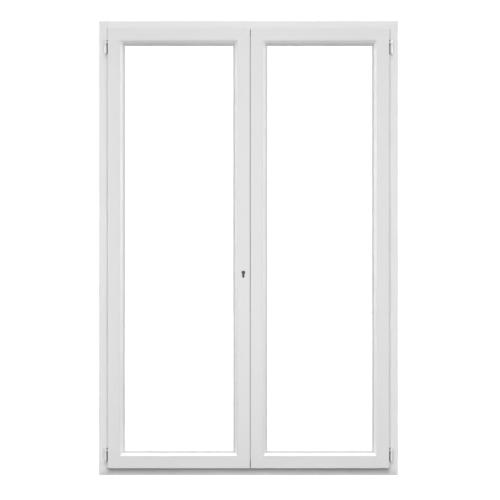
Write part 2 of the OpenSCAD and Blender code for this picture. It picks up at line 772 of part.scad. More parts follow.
module key_plug() color("silver") place_leaf(left) at_key() {
    difference() {
        along_y(cylinder_recess, cam_y0 + 1) circle(r = plug_r, $fn = round_fn);
        box_between([-key_slot_w / 2, cylinder_recess - over, -key_slot_h / 2 - key_slot_drop],
                    [key_slot_w / 2, cylinder_recess + key_slot_depth,
                     key_slot_h / 2 - key_slot_drop]);
    }
    along_y(cam_y0, cam_y1) {
        circle(r = cylinder_r, $fn = round_fn);
        rect_between([-cam_w / 2, -cam_r], [cam_w / 2, 0]);
    }
}

deadbolt_l = 36;

module deadbolt() color("silver") place_leaf(left)
    translate([left_w + meet_reach - deadbolt_fit, bolt_y, deadbolt_z])
        box_between([-deadbolt_l, -deadbolt_t / 2, -deadbolt_h / 2],
                    [0, deadbolt_t / 2, deadbolt_h / 2]);

module shoot_bolt(z0, z1) translate([bolt_x, bolt_y, z0])
    cylinder(h = z1 - z0, r = bolt_r, $fn = round_fn);

module top_bolt() color("silver") place_leaf(left) translate([left_w, 0, 0])
    shoot_bolt(case_low + case_h + 2, leaf_h - flange_w - bolt_rest);

module bottom_bolt() color("silver") place_leaf(left) translate([left_w, 0, 0])
    shoot_bolt(flange_w + bolt_rest, case_low - 2);

// A flush bolt with the thumb tab that slides it, its tip at z = 0 and the rod above
module flush_bolt() {
    cylinder(h = flush_bolt_l, r = bolt_r, $fn = round_fn);
    translate([0, 0, tab_z])
        box_between([0, -tab_w / 2, 0], [meet_reach - bolt_x - deadbolt_fit, tab_w / 2, tab_h]);
}

// The slot in which a tab slides, z0 being the tab's lower edge when the bolt is thrown
module tab_slot(z0) box_between(
    [plate_in - meet_wall - over, bolt_y - tab_w / 2 - tab_relief, z0 - tab_relief],
    [plate_in + over, bolt_y + tab_w / 2 + tab_relief, z0 + tab_h + bolt_throw + tab_relief]);

module top_flush_bolt() color("silver") place_leaf(right)
    translate([right_w + bolt_x, bolt_y, leaf_h - flange_w - bolt_rest]) mirror([0, 0, 1])
        flush_bolt();

module bottom_flush_bolt() color("silver") place_leaf(right)
    translate([right_w + bolt_x, bolt_y, flange_w + bolt_rest]) flush_bolt();

module right_meeting_profile() color("white") place_leaf(right) difference() {
    meeting_profile(right_w);
    translate([right_w, 0, 0]) {
        deadbolt_window();
        tab_slot(flange_w + bolt_rest + tab_z - bolt_throw);
        translate([0, 0, leaf_h]) mirror([0, 0, 1])
            tab_slot(flange_w + bolt_rest + tab_z - bolt_throw);
    }
}

keep_half_h = 40;

module deadbolt_keep() color("silver") place_leaf(right) translate([right_w, 0, 0]) difference() {
    box_between([plate_in, groove_front + fixed_fit, deadbolt_z - keep_half_h],
                [meet_reach, groove_back - fixed_fit, deadbolt_z + keep_half_h]);
    deadbolt_opening(plate_in - over, meet_reach + over, deadbolt_relief);
}

// ---------- Nodes of each leaf ----------

module left_hinge_stile() color("white") place_leaf(left) hinge_stile();
module left_top_rail() color("white") place_leaf(left) top_rail(left_w);
module left_bottom_rail() color("white") place_leaf(left) bottom_rail(left_w);
module left_steels() color("silver") place_leaf(left) steels(left_w, true);
module left_beads() color("white") place_leaf(left) beads(left_w);
module left_inner_pane() color("lightblue", 0.4) place_leaf(left) pane(left_w, inner_pane_y);
module left_outer_pane() color("lightblue", 0.4) place_leaf(left) pane(left_w, outer_pane_y);
module left_spacer() color("lightgray") place_leaf(left) spacer(left_w);
module left_bead_gasket() color("gray") place_leaf(left) leaf_ring(left_w) bead_gasket_section();
module left_lip_gasket() color("gray") place_leaf(left) leaf_ring(left_w) lip_gasket_section();
module left_glazing_blocks() color("black") place_leaf(left) glazing_blocks(left_w);
module left_leaf_seal() color("gray") place_leaf(left) leaf_seal(left_w);
module left_knuckles() color("whitesmoke") place_leaf(left) leaf_knuckles();
module left_weather_bar() color("white") place_leaf(left) weather_bar(left_w);
module left_meeting_seal() color("gray") place_leaf(left) meeting_seal(left_w);
module left_bolt_guides() color("dimgray") place_leaf(left) bolt_guides(left_w);

module right_hinge_stile() color("white") place_leaf(right) hinge_stile();
module right_meeting_stile() color("white") place_leaf(right) meeting_stile(right_w);
module right_top_rail() color("white") place_leaf(right) top_rail(right_w);
module right_bottom_rail() color("white") place_leaf(right) bottom_rail(right_w);
module right_steels() color("silver") place_leaf(right) steels(right_w, false);
module right_beads() color("white") place_leaf(right) beads(right_w);
module right_inner_pane() color("lightblue", 0.4) place_leaf(right) pane(right_w, inner_pane_y);
module right_outer_pane() color("lightblue", 0.4) place_leaf(right) pane(right_w, outer_pane_y);
module right_spacer() color("lightgray") place_leaf(right) spacer(right_w);
module right_bead_gasket() color("gray") place_leaf(right) leaf_ring(right_w) bead_gasket_section();
module right_lip_gasket() color("gray") place_leaf(right) leaf_ring(right_w) lip_gasket_section();
module right_glazing_blocks() color("black") place_leaf(right) glazing_blocks(right_w);
module right_leaf_seal() color("gray") place_leaf(right) leaf_seal(right_w);
module right_knuckles() color("whitesmoke") place_leaf(right) leaf_knuckles();
module right_weather_bar() color("white") place_leaf(right) weather_bar(right_w);
module right_meeting_seal() color("gray") place_leaf(right) meeting_seal(right_w);
module right_bolt_guides() color("dimgray") place_leaf(right) bolt_guides(right_w);

head();
left_jamb();
right_jamb();
sill();
frame_steels();
frame_seal();
drain_caps();
hinge_base_plates();
frame_knuckles();
hinge_pins();
hinge_washers();
bolt_keeps();
keep_screws();
left_hinge_stile();
left_lock_stile();
left_top_rail();
left_bottom_rail();
left_steels();
left_beads();
left_inner_pane();
left_outer_pane();
left_spacer();
left_bead_gasket();
left_lip_gasket();
left_glazing_blocks();
left_leaf_seal();
left_knuckles();
left_weather_bar();
left_meeting_profile();
left_meeting_seal();
left_bolt_guides();
lock_case();
lock_faceplate();
faceplate_screws();
cylinder_body();
key_plug();
deadbolt();
top_bolt();
bottom_bolt();
right_hinge_stile();
right_meeting_stile();
right_top_rail();
right_bottom_rail();
right_steels();
right_beads();
right_inner_pane();
right_outer_pane();
right_spacer();
right_bead_gasket();
right_lip_gasket();
right_glazing_blocks();
right_leaf_seal();
right_knuckles();
right_weather_bar();
right_meeting_profile();
right_meeting_seal();
right_bolt_guides();
deadbolt_keep();
top_flush_bolt();
bottom_flush_bolt();
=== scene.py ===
import json
import math

import bpy
import bmesh
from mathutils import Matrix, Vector

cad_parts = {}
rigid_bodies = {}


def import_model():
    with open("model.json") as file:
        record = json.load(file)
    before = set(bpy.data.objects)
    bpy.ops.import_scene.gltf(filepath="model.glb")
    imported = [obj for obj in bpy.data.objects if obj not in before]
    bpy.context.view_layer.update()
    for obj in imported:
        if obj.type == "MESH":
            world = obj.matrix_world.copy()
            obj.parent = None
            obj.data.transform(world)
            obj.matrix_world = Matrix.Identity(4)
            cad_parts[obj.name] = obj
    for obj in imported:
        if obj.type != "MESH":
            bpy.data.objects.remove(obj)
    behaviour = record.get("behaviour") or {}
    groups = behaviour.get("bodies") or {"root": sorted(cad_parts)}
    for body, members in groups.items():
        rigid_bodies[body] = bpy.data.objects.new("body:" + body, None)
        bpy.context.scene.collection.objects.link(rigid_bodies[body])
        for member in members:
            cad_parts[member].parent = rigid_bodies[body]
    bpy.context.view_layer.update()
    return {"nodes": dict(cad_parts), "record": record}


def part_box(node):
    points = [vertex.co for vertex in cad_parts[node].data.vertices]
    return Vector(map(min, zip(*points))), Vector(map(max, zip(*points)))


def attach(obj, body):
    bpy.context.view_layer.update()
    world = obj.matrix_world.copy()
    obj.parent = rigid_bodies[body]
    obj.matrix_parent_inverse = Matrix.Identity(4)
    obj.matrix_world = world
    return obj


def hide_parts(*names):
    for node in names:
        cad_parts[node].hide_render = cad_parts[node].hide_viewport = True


MM = 0.001
ROOM_FACE_Y = -35 * MM       # the frame's face on the room side


# ---------- Camera ----------

SEEN_WIDTH = 2.3365          # width that the view takes in, at the frame's room face
VIEW_DISTANCE = 12.0
VIEW_AIM = Vector((0.0071, ROOM_FACE_Y, 1.0521))
SENSOR = 36.0                # the camera's own film width, in its own millimetres


def set_camera():
    """A long lens, level and straight at the room face of the doors."""
    lens = bpy.data.cameras.new("view")
    lens.sensor_width = SENSOR
    lens.lens = VIEW_DISTANCE * SENSOR / SEEN_WIDTH
    lens.clip_end = 100.0
    camera = bpy.data.objects.new("view", lens)
    camera.location = VIEW_AIM - Vector((0.0, VIEW_DISTANCE, 0.0))
    camera.rotation_euler = (math.radians(90), 0.0, 0.0)
    bpy.context.scene.collection.objects.link(camera)
    bpy.context.scene.camera = camera


# ---------- Node helpers ----------

def add_node(tree, kind, inputs=None, **settings):
    """A node with its settings, and its inputs given as numbers or as sockets to link from."""
    made = tree.nodes.new(kind)
    for name, value in settings.items():
        setattr(made, name, value)
    for name, value in (inputs or {}).items():
        if isinstance(value, bpy.types.NodeSocket):
            tree.links.new(value, made.inputs[name])
        else:
            made.inputs[name].default_value = value
    return made


def calculate(tree, operation, a, b=0.0):
    """The output of a Math node on two numbers or sockets."""
    return add_node(tree, "ShaderNodeMath", {0: a, 1: b}, operation=operation).outputs[0]


def new_group(name, kind, inputs, outputs):
    """A node group with named sockets; returns its tree, its input node and its output node."""
    tree = bpy.data.node_groups.new(name, kind)
    for label, socket, value in inputs:
        made = tree.interface.new_socket(name=label, in_out="INPUT", socket_type=socket)
        if value is not None:
            made.default_value = value
    for label, socket in outputs:
        tree.interface.new_socket(name=label, in_out="OUTPUT", socket_type=socket)
    return tree, tree.nodes.new("NodeGroupInput"), tree.nodes.new("NodeGroupOutput")


FLOAT = "NodeSocketFloat"
COLOR = "NodeSocketColor"


def rgba(tone, warmth=0.0):
    """A near-grey colour: its tone, and how much warmer (or cooler, below 0) than grey it is."""
    return (tone * (1 + warmth), tone, tone * (1 - warmth), 1.0)


# ---------- Shared surface effects ----------

def build_cloudy_tone():
    """Soft patches a little lighter and darker than the plain colour."""
    tree, given, made = new_group(
        "cloudy_tone", "ShaderNodeTree",
        [("Color", COLOR, (0.8, 0.8, 0.8, 1.0)), ("Patches per metre", FLOAT, 5.0),
         ("Amount", FLOAT, 0.05)],
        [("Color", COLOR), ("Patch", FLOAT)])
    place = add_node(tree, "ShaderNodeTexCoord").outputs["Object"]
    noise = add_node(tree, "ShaderNodeTexNoise", {
        "Vector": place, "Scale": given.outputs["Patches per metre"], "Detail": 5.0,
        "Roughness": 0.6})
    swing = calculate(tree, "MULTIPLY",
                      calculate(tree, "SUBTRACT", noise.outputs["Fac"], 0.5),
                      given.outputs["Amount"])
    shade = add_node(tree, "ShaderNodeHueSaturation", {
        "Color": given.outputs["Color"], "Value": calculate(tree, "ADD", swing, 1.0)})
    tree.links.new(shade.outputs["Color"], made.inputs["Color"])
    tree.links.new(noise.outputs["Fac"], made.inputs["Patch"])
    return tree


def build_fine_grain():
    """Height of a fine moulded or drawn grain, longer along one direction if stretched."""
    tree, given, made = new_group(
        "fine_grain", "ShaderNodeTree",
        [("Grains per metre", FLOAT, 900.0), ("Stretch X", FLOAT, 1.0), ("Stretch Y", FLOAT, 1.0),
         ("Stretch Z", FLOAT, 1.0)],
        [("Height", FLOAT)])
    place = add_node(tree, "ShaderNodeTexCoord").outputs["Object"]
    stretch = add_node(tree, "ShaderNodeCombineXYZ", {
        "X": given.outputs["Stretch X"], "Y": given.outputs["Stretch Y"],
        "Z": given.outputs["Stretch Z"]})
    spread = add_node(tree, "ShaderNodeVectorMath", {0: place, 1: stretch.outputs[0]},
                      operation="MULTIPLY")
    noise = add_node(tree, "ShaderNodeTexNoise", {
        "Vector": spread.outputs[0], "Scale": given.outputs["Grains per metre"], "Detail": 3.0,
        "Roughness": 0.55})
    tree.links.new(noise.outputs["Fac"], made.inputs["Height"])
    return tree


EDGE_GAIN = 6.0              # how fast the edge mark fills in as a rounded edge turns from its face


def build_edge_wear_and_highlight():
    """Edge wear, and on white plastic a painted highlight: 1 on the outer edges of a piece and 0
    on its faces, broken up by a noise.
    """
    tree, given, made = new_group(
        "edge_wear_and_highlight", "ShaderNodeTree",
        [("Width", FLOAT, 0.001), ("Strength", FLOAT, 1.0), ("Breaks per metre", FLOAT, 60.0)],
        [("Mask", FLOAT)])
    rounded = add_node(tree, "ShaderNodeBevel", {"Radius": given.outputs["Width"]}, samples=4)
    true_normal = add_node(tree, "ShaderNodeNewGeometry").outputs["Normal"]
    agree = add_node(tree, "ShaderNodeVectorMath", {0: rounded.outputs[0], 1: true_normal},
                     operation="DOT_PRODUCT").outputs["Value"]
    edge = calculate(tree, "MULTIPLY", calculate(tree, "SUBTRACT", 1.0, agree), EDGE_GAIN)
    place = add_node(tree, "ShaderNodeTexCoord").outputs["Object"]
    breaks = add_node(tree, "ShaderNodeTexNoise", {
        "Vector": place, "Scale": given.outputs["Breaks per metre"], "Detail": 4.0})
    kept = calculate(tree, "MULTIPLY", edge, breaks.outputs["Fac"])
    strong = add_node(tree, "ShaderNodeMath", {0: kept, 1: given.outputs["Strength"]},
                      operation="MULTIPLY", use_clamp=True)
    tree.links.new(strong.outputs[0], made.inputs["Mask"])
    return tree


def build_painted_groove_shade():
    """Painted shade: 1 deep in joints and inner corners and 0 on open faces."""
    tree, given, made = new_group(
        "painted_groove_shade", "ShaderNodeTree",
        [("Reach", FLOAT, 0.008), ("Strength", FLOAT, 1.0)],
        [("Mask", FLOAT)])
    open_part = add_node(tree, "ShaderNodeAmbientOcclusion",
                         {"Distance": given.outputs["Reach"]}, samples=8).outputs["AO"]
    closed = calculate(tree, "SUBTRACT", 1.0, open_part)
    strong = add_node(tree, "ShaderNodeMath", {0: closed, 1: given.outputs["Strength"]},
                      operation="MULTIPLY", use_clamp=True)
    tree.links.new(strong.outputs[0], made.inputs["Mask"])
    return tree


EFFECTS = {}                 # each shared effect's node group, by name


def build_effects():
    """Builds every shared effect once, before the first material."""
    EFFECTS["cloudy_tone"] = build_cloudy_tone()
    EFFECTS["fine_grain"] = build_fine_grain()
    EFFECTS["edge_wear_and_highlight"] = build_edge_wear_and_highlight()
    EFFECTS["painted_groove_shade"] = build_painted_groove_shade()


def effect(tree, name, inputs):
    """A shared effect placed in a material, with this material's own values."""
    return add_node(tree, "ShaderNodeGroup", inputs, node_tree=EFFECTS[name])


def blend_colors(tree, mask, plain, changed):
    """The plain colour where the mask is 0 and the changed one where it is 1."""
    mixed = add_node(tree, "ShaderNodeMix", {0: mask, 6: plain, 7: changed}, data_type="RGBA")
    return mixed.outputs[2]


# ---------- Materials ----------

def finish(name, color, roughness, metallic=0.0, patch=5.0, patch_amount=0.05,
           grains=900.0, stretch=(1.0, 1.0, 1.0), grain_depth=0.02 * MM, roughness_swing=0.06,
           edge_color=None, edge_width=0.6 * MM, edge_strength=0.8, shade_color=None, shade_reach=8 * MM,
           shade_strength=0.6, shade_fade_height=0.0, coat=0.0, shine=0.5):
    """A solid finish: cloudy colour, painted shade darkening its joints and recesses, worn edges
    (lightened as a painted highlight on white plastic), uneven gloss and a grain.
    Given a height, the painted shade grows from nothing on the floor to its full strength that
    high."""
    material = bpy.data.materials.new(name)
    material.use_nodes = True
    tree = material.node_tree
    shader = tree.nodes["Principled BSDF"]
    shader.inputs["Metallic"].default_value = metallic
    shader.inputs["Coat Weight"].default_value = coat
    shader.inputs["Specular IOR Level"].default_value = shine
    cloudy = effect(tree, "cloudy_tone", {
        "Color": color, "Patches per metre": patch, "Amount": patch_amount})
    surface = cloudy.outputs["Color"]
    # painted shade: the colour darkens where the surface is closed in, in joints, seams, recesses
    # and under proud parts
    if shade_color:
        mask = effect(tree, "painted_groove_shade", {"Reach": shade_reach, "Strength": shade_strength}).outputs[0]
        # the painted shade fades out towards the floor, up to the given height
        if shade_fade_height:
            place = add_node(tree, "ShaderNodeTexCoord").outputs["Object"]
            height = add_node(tree, "ShaderNodeSeparateXYZ", {0: place}).outputs["Z"]
            risen = add_node(tree, "ShaderNodeMapRange", {
                "Value": height, "From Max": shade_fade_height}).outputs["Result"]
            mask = calculate(tree, "MULTIPLY", mask, risen)
        surface = blend_colors(tree, mask, surface, shade_color)
    # worn edges; on the white plastics the lighter edge colour is a painted highlight
    if edge_color:
        mask = effect(tree, "edge_wear_and_highlight", {"Width": edge_width, "Strength": edge_strength})
        surface = blend_colors(tree, mask.outputs["Mask"], surface, edge_color)
    tree.links.new(surface, shader.inputs["Base Color"])
    uneven = calculate(tree, "MULTIPLY", cloudy.outputs["Patch"], roughness_swing)
    tree.links.new(calculate(tree, "ADD", uneven, roughness - roughness_swing / 2),
                   shader.inputs["Roughness"])
    grain = effect(tree, "fine_grain", {
        "Grains per metre": grains, "Stretch X": stretch[0], "Stretch Y": stretch[1],
        "Stretch Z": stretch[2]})
    bump = add_node(tree, "ShaderNodeBump", {
        "Height": grain.outputs["Height"], "Distance": grain_depth, "Strength": 1.0})
    tree.links.new(bump.outputs["Normal"], shader.inputs["Normal"])
    return material


def clear_glass():
    """Float glass: clear, a little green, with the faintest haze and waviness."""
    material = bpy.data.materials.new("glass")
    material.use_nodes = True
    tree = material.node_tree
    shader = tree.nodes["Principled BSDF"]
    shader.inputs["IOR"].default_value = 1.5
    shader.inputs["Transmission Weight"].default_value = 1.0
    cloudy = effect(tree, "cloudy_tone", {
        "Color": (0.985, 0.997, 0.992, 1.0), "Patches per metre": 3.0, "Amount": 0.006})
    tree.links.new(cloudy.outputs["Color"], shader.inputs["Base Color"])
    haze = calculate(tree, "MULTIPLY", cloudy.outputs["Patch"], 0.01)
    tree.links.new(haze, shader.inputs["Roughness"])
    wave = effect(tree, "fine_grain", {"Grains per metre": 1.5})
    bump = add_node(tree, "ShaderNodeBump", {
        "Height": wave.outputs["Height"], "Distance": 0.2 * MM, "Strength": 1.0})
    tree.links.new(bump.outputs["Normal"], shader.inputs["Normal"])
    return material


def white_plastic(name, tone, shade_reach=3 * MM, shade_strength=0.9, shade_fade_height=0.0):
    """The extruded white of the profiles, with weld grooves, seams and recesses darkened as
    painted shade, and rounded edges lightened as a painted highlight.
    """
    return finish(
        name, rgba(tone), 0.26, patch=4.0, patch_amount=0.018, grains=1400.0,
        grain_depth=0.012 * MM, shade_color=rgba(0.10, 0.02), shade_strength=shade_strength, shade_reach=shade_reach,
        shade_fade_height=shade_fade_height, edge_color=rgba(0.92), edge_width=1.5 * MM, edge_strength=1.0)


def build_finishes():
    """One material for each of the record's slots, and some for the nodes of OWN_FINISH."""
    return {
        # The frame's whites are lighter than the leaves' white as painted light, and their
        # painted shade reaches farther: a dark line beside and above the leaves, and on the sill
        # the painted shadow under the leaves, fading out towards the floor.
        "jamb_pvc": white_plastic("jamb_pvc", 0.83, 4 * MM, 1.0),
        "head_pvc": white_plastic("head_pvc", 0.84, 5 * MM, 1.5),
        "sill_pvc": white_plastic("sill_pvc", 0.85, 26 * MM, 1.6, 26 * MM),
        "white_pvc": white_plastic("white_pvc", 0.78),
        # The beads are lighter than the leaves' white and their edges near white: painted light
        # and painted highlight.
        "bead_pvc": finish(
            "bead_pvc", rgba(0.84), 0.22, patch=4.0, patch_amount=0.02, grains=1400.0,
            grain_depth=0.01 * MM, shade_color=rgba(0.3, 0.02), shade_strength=0.5, shade_reach=2 * MM,
            edge_color=rgba(0.97), edge_width=1.2 * MM),
        "galvanised_steel": finish(
            "galvanised_steel", rgba(0.52, -0.02), 0.42, metallic=1.0, patch=90.0,
            patch_amount=0.5, grains=300.0, roughness_swing=0.2, edge_color=rgba(0.72)),
        "gasket_rubber": finish(
            "gasket_rubber", rgba(0.74), 0.62, patch=20.0, patch_amount=0.15, grains=1500.0,
            grain_depth=0.05 * MM, shade_color=rgba(0.05, 0.02), shade_strength=0.9, shade_reach=3 * MM,
            shine=0.15),
        "dark_seal": finish(
            "dark_seal", rgba(0.05), 0.75, patch=20.0, patch_amount=0.2, grains=1500.0,
            grain_depth=0.05 * MM, shade_color=rgba(0.04, 0.02), shade_reach=6 * MM, shine=0.2),
        "hinge_finish": finish(
            "hinge_finish", rgba(0.78), 0.3, patch=30.0, patch_amount=0.05, grains=1800.0,
            shade_color=rgba(0.14, 0.02), shade_reach=6 * MM, shade_strength=0.7, edge_color=rgba(0.62),
            coat=0.2),
        "bright_steel": finish(
            "bright_steel", rgba(0.66), 0.28, metallic=1.0, patch=120.0, patch_amount=0.2,
            grains=2200.0, shade_color=rgba(0.25), edge_color=rgba(0.85)),
        "nylon": finish(
            "nylon", rgba(0.66, 0.02), 0.45, patch=40.0, patch_amount=0.1, grains=1200.0,
            shade_color=rgba(0.3, 0.03)),
        "glass": clear_glass(),
        "spacer_aluminium": finish(
            "spacer_aluminium", rgba(0.70), 0.36, metallic=1.0, patch=20.0, patch_amount=0.1,
            grains=900.0, stretch=(0.05, 1.0, 0.05), edge_color=rgba(0.85)),
        # Near black, so that the hinge base plates show as the dark gap beside the barrels:
        # painted shade.
        "block_plastic": finish(
            "block_plastic", rgba(0.02), 0.8, patch=50.0, patch_amount=0.3, grains=700.0,
            shade_color=rgba(0.01), shine=0.1),
        "lock_steel": finish(
            "lock_steel", rgba(0.60), 0.34, metallic=1.0, patch=30.0, patch_amount=0.15,
            grains=1400.0, stretch=(1.0, 1.0, 0.03), grain_depth=0.03 * MM,
            shade_color=rgba(0.2), edge_color=rgba(0.82)),
        # Far darker than bright nickel, so that the lock cylinder shows as the dark keyhole:
        # painted shade.
        "nickel": finish(
            "nickel", rgba(0.13, 0.02), 0.36, metallic=1.0, patch=150.0, patch_amount=0.2,
            grains=2500.0, shade_color=rgba(0.03), shade_strength=1.0, shade_reach=5 * MM,
            edge_color=rgba(0.25)),
    }


# Nodes that look a little different from the rest of their slot; the lighter whites of the frame
# and the beads are painted light
OWN_FINISH = {
    "head": "head_pvc",
    "left_jamb": "jamb_pvc",
    "right_jamb": "jamb_pvc",
    "sill": "sill_pvc",
    "left_beads": "bead_pvc",
    "right_beads": "bead_pvc",
    "frame_seal": "dark_seal",
    "left_leaf_seal": "dark_seal",
    "right_leaf_seal": "dark_seal",
    "left_meeting_seal": "dark_seal",
    "right_meeting_seal": "dark_seal",
}


def dress_nodes(finishes):
    """Gives every node the finish of its slot, or its own."""
    for part in frame["record"]["subparts"]:
        name = OWN_FINISH.get(part["node"], part["material_slot"])
        for slot in frame["nodes"][part["node"]].material_slots:
            slot.material = finishes[name]


# ---------- Small pieces that repeat ----------

GEOMETRY = "NodeSocketGeometry"
VECTOR = "NodeSocketVector"
MATERIAL = "NodeSocketMaterial"


def build_cross_screws():
    """A pan head with a cross recess on every point."""
    tree, given, made = new_group(
        "cross_screws", "GeometryNodeTree",
        [("Points", GEOMETRY, None), ("Head radius", FLOAT, 0.002), ("Head height", FLOAT, 0.001),
         ("Recess width", FLOAT, 0.0007), ("Recess depth", FLOAT, 0.0008),
         ("Turn", VECTOR, (0.0, 0.0, 0.0)), ("Finish", MATERIAL, None)],
        [("Geometry", GEOMETRY)])
    head = add_node(tree, "GeometryNodeMeshCylinder", {
        "Vertices": 28, "Side Segments": 1, "Radius": given.outputs["Head radius"],
        "Depth": given.outputs["Head height"]})
    span = calculate(tree, "MULTIPLY", given.outputs["Head radius"], 1.25)
    thick = calculate(tree, "MULTIPLY", given.outputs["Recess depth"], 2.0)
    top = add_node(tree, "ShaderNodeCombineXYZ", {
        "Z": calculate(tree, "MULTIPLY", given.outputs["Head height"], 0.5)})
    recess = add_node(tree, "GeometryNodeJoinGeometry")
    for along, across in (("X", "Y"), ("Y", "X")):
        size = add_node(tree, "ShaderNodeCombineXYZ", {
            along: span, across: given.outputs["Recess width"], "Z": thick})
        arm = add_node(tree, "GeometryNodeMeshCube", {"Size": size.outputs[0]})
        lifted = add_node(tree, "GeometryNodeTransform", {
            "Geometry": arm.outputs["Mesh"], "Translation": top.outputs[0]})
        tree.links.new(lifted.outputs["Geometry"], recess.inputs[0])
    cut = add_node(tree, "GeometryNodeMeshBoolean", operation="DIFFERENCE")
    tree.links.new(head.outputs["Mesh"], cut.inputs["Mesh 1"])
    tree.links.new(recess.outputs[0], cut.inputs["Mesh 2"])
    spread = add_node(tree, "GeometryNodeInstanceOnPoints", {
        "Points": given.outputs["Points"], "Instance": cut.outputs["Mesh"],
        "Rotation": given.outputs["Turn"]})
    finish_instances(tree, spread, given, made)
    return tree


def build_domed_caps():
    """A low dome with a rim on every point."""
    tree, given, made = new_group(
        "domed_caps", "GeometryNodeTree",
        [("Points", GEOMETRY, None), ("Radius", FLOAT, 0.0055), ("Height", FLOAT, 0.002),
         ("Turn", VECTOR, (0.0, 0.0, 0.0)), ("Finish", MATERIAL, None)],
        [("Geometry", GEOMETRY)])
    ball = add_node(tree, "GeometryNodeMeshUVSphere", {
        "Segments": 32, "Rings": 16, "Radius": 1.0})
    size = add_node(tree, "ShaderNodeCombineXYZ", {
        "X": given.outputs["Radius"], "Y": given.outputs["Radius"], "Z": given.outputs["Height"]})
    dome = add_node(tree, "GeometryNodeTransform", {
        "Geometry": ball.outputs["Mesh"], "Scale": size.outputs[0]})
    smooth = add_node(tree, "GeometryNodeSetShadeSmooth", {"Geometry": dome.outputs["Geometry"]})
    spread = add_node(tree, "GeometryNodeInstanceOnPoints", {
        "Points": given.outputs["Points"], "Instance": smooth.outputs["Geometry"],
        "Rotation": given.outputs["Turn"]})
    finish_instances(tree, spread, given, made)
    return tree


def build_small_blocks():
    """A plain block on every point: the thumb ribs."""
    tree, given, made = new_group(
        "small_blocks", "GeometryNodeTree",
        [("Points", GEOMETRY, None), ("Size", VECTOR, (0.001, 0.001, 0.001)),
         ("Finish", MATERIAL, None)],
        [("Geometry", GEOMETRY)])
    block = add_node(tree, "GeometryNodeMeshCube", {"Size": given.outputs["Size"]})
    spread = add_node(tree, "GeometryNodeInstanceOnPoints", {
        "Points": given.outputs["Points"], "Instance": block.outputs["Mesh"]})
    finish_instances(tree, spread, given, made)
    return tree


def build_spaced_holes():
    """Dark discs at an even pitch between two points: the spacer's breathing holes, their black a
    painted shade.
    """
    tree, given, made = new_group(
        "spaced_holes", "GeometryNodeTree",
        [("Path", GEOMETRY, None), ("Pitch", FLOAT, 0.012), ("Radius", FLOAT, 0.0008),
         ("Thickness", FLOAT, 0.0002), ("Turn", VECTOR, (0.0, 0.0, 0.0)),
         ("Finish", MATERIAL, None)],
        [("Geometry", GEOMETRY)])
    curve = add_node(tree, "GeometryNodeMeshToCurve", {"Mesh": given.outputs["Path"]})
    points = add_node(tree, "GeometryNodeCurveToPoints", {
        "Curve": curve.outputs["Curve"], "Length": given.outputs["Pitch"]}, mode="LENGTH")
    disc = add_node(tree, "GeometryNodeMeshCylinder", {
        "Vertices": 10, "Radius": given.outputs["Radius"], "Depth": given.outputs["Thickness"]})
    spread = add_node(tree, "GeometryNodeInstanceOnPoints", {
        "Points": points.outputs["Points"], "Instance": disc.outputs["Mesh"],
        "Rotation": given.outputs["Turn"]})
    finish_instances(tree, spread, given, made)
    return tree


def finish_instances(tree, spread, given, made):
    """Ends a tree: its instances become real geometry in the given finish."""
    real = add_node(tree, "GeometryNodeRealizeInstances", {
        "Geometry": spread.outputs["Instances"]})
    dressed = add_node(tree, "GeometryNodeSetMaterial", {
        "Geometry": real.outputs["Geometry"], "Material": given.outputs["Finish"]})
    tree.links.new(dressed.outputs["Geometry"], made.inputs["Geometry"])


TREES = {}                   # each geometry tree, by name


def build_trees():
    """Builds every geometry tree once, before the first small piece."""
    TREES["cross_screws"] = build_cross_screws()
    TREES["domed_caps"] = build_domed_caps()
    TREES["small_blocks"] = build_small_blocks()
    TREES["spaced_holes"] = build_spaced_holes()


def grow(name, kind, points, edges, settings):
    """A piece with the plain mesh that a tree of this kind makes from points and edges."""
    tree = TREES[kind]
    seed = bpy.data.meshes.new(name + "_points")
    seed.from_pydata(points, edges, [])
    carrier = bpy.data.objects.new(name + "_points", seed)
    bpy.context.scene.collection.objects.link(carrier)
    modifier = carrier.modifiers.new(name, "NODES")
    modifier.node_group = tree
    sockets = {s.name: s.identifier for s in tree.interface.items_tree
               if s.item_type == "SOCKET" and s.in_out == "INPUT"}
    for label, value in settings.items():
        modifier[sockets[label]] = value
    shown = carrier.evaluated_get(bpy.context.evaluated_depsgraph_get())
    mesh = bpy.data.meshes.new_from_object(shown)
    mesh.name = name
    carrier.modifiers.remove(modifier)
    bpy.data.objects.remove(carrier)
    piece = bpy.data.objects.new(name, mesh)
    bpy.context.scene.collection.objects.link(piece)
    return piece


def settle(piece, body):
    """Says which body a piece rides on."""
    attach(piece, body)
    return piece


def lumps(node, reach):
    """(lowest, highest) corner of each separate lump of a node, from low to high. A lump is
    less than reach across, and farther than that from the next one."""
    groups = []
    for corner in (v.co for v in frame["nodes"][node].data.vertices):
        near = [g for g in groups if (g[0] - corner).length < reach]
        if near:
            near[0].append(corner.copy())
        else:
            groups.append([corner.copy()])
    boxes = [(Vector([min(c[i] for c in g) for i in range(3)]),
              Vector([max(c[i] for c in g) for i in range(3)])) for g in groups]
    return sorted(boxes, key=lambda box: (round(box[0].z, 3), box[0].x))


FACING_X = (0.0, math.pi / 2, 0.0)      # turns that take +Z to the way a piece faces
FACING_BACK_X = (0.0, -math.pi / 2, 0.0)
FACING_UP = (0.0, 0.0, 0.0)
FACING_DOWN = (math.pi, 0.0, 0.0)

PLATE_SCREW_REACH = 8 * MM   # wider than one screw, and narrower than the gap to the next
KEEP_SCREW_REACH = 4 * MM
KEEP_HEAD_RADIUS = 2.5 * MM  # the two screws of the deadbolt's keep
KEEP_HEAD_HEIGHT = 0.4 * MM
KEEP_HEAD_INSET = 8 * MM     # from the ends of the keep


def cross_screws(name, body, places, turn, radius, height, finishes):
    """Pan-head screws; a place is the middle of a head."""
    piece = grow(name, "cross_screws", places, [], {
        "Head radius": radius, "Head height": height, "Recess width": 0.3 * radius,
        "Recess depth": 0.5 * height, "Turn": turn, "Finish": finishes["bright_steel"]})
    return settle(piece, body)


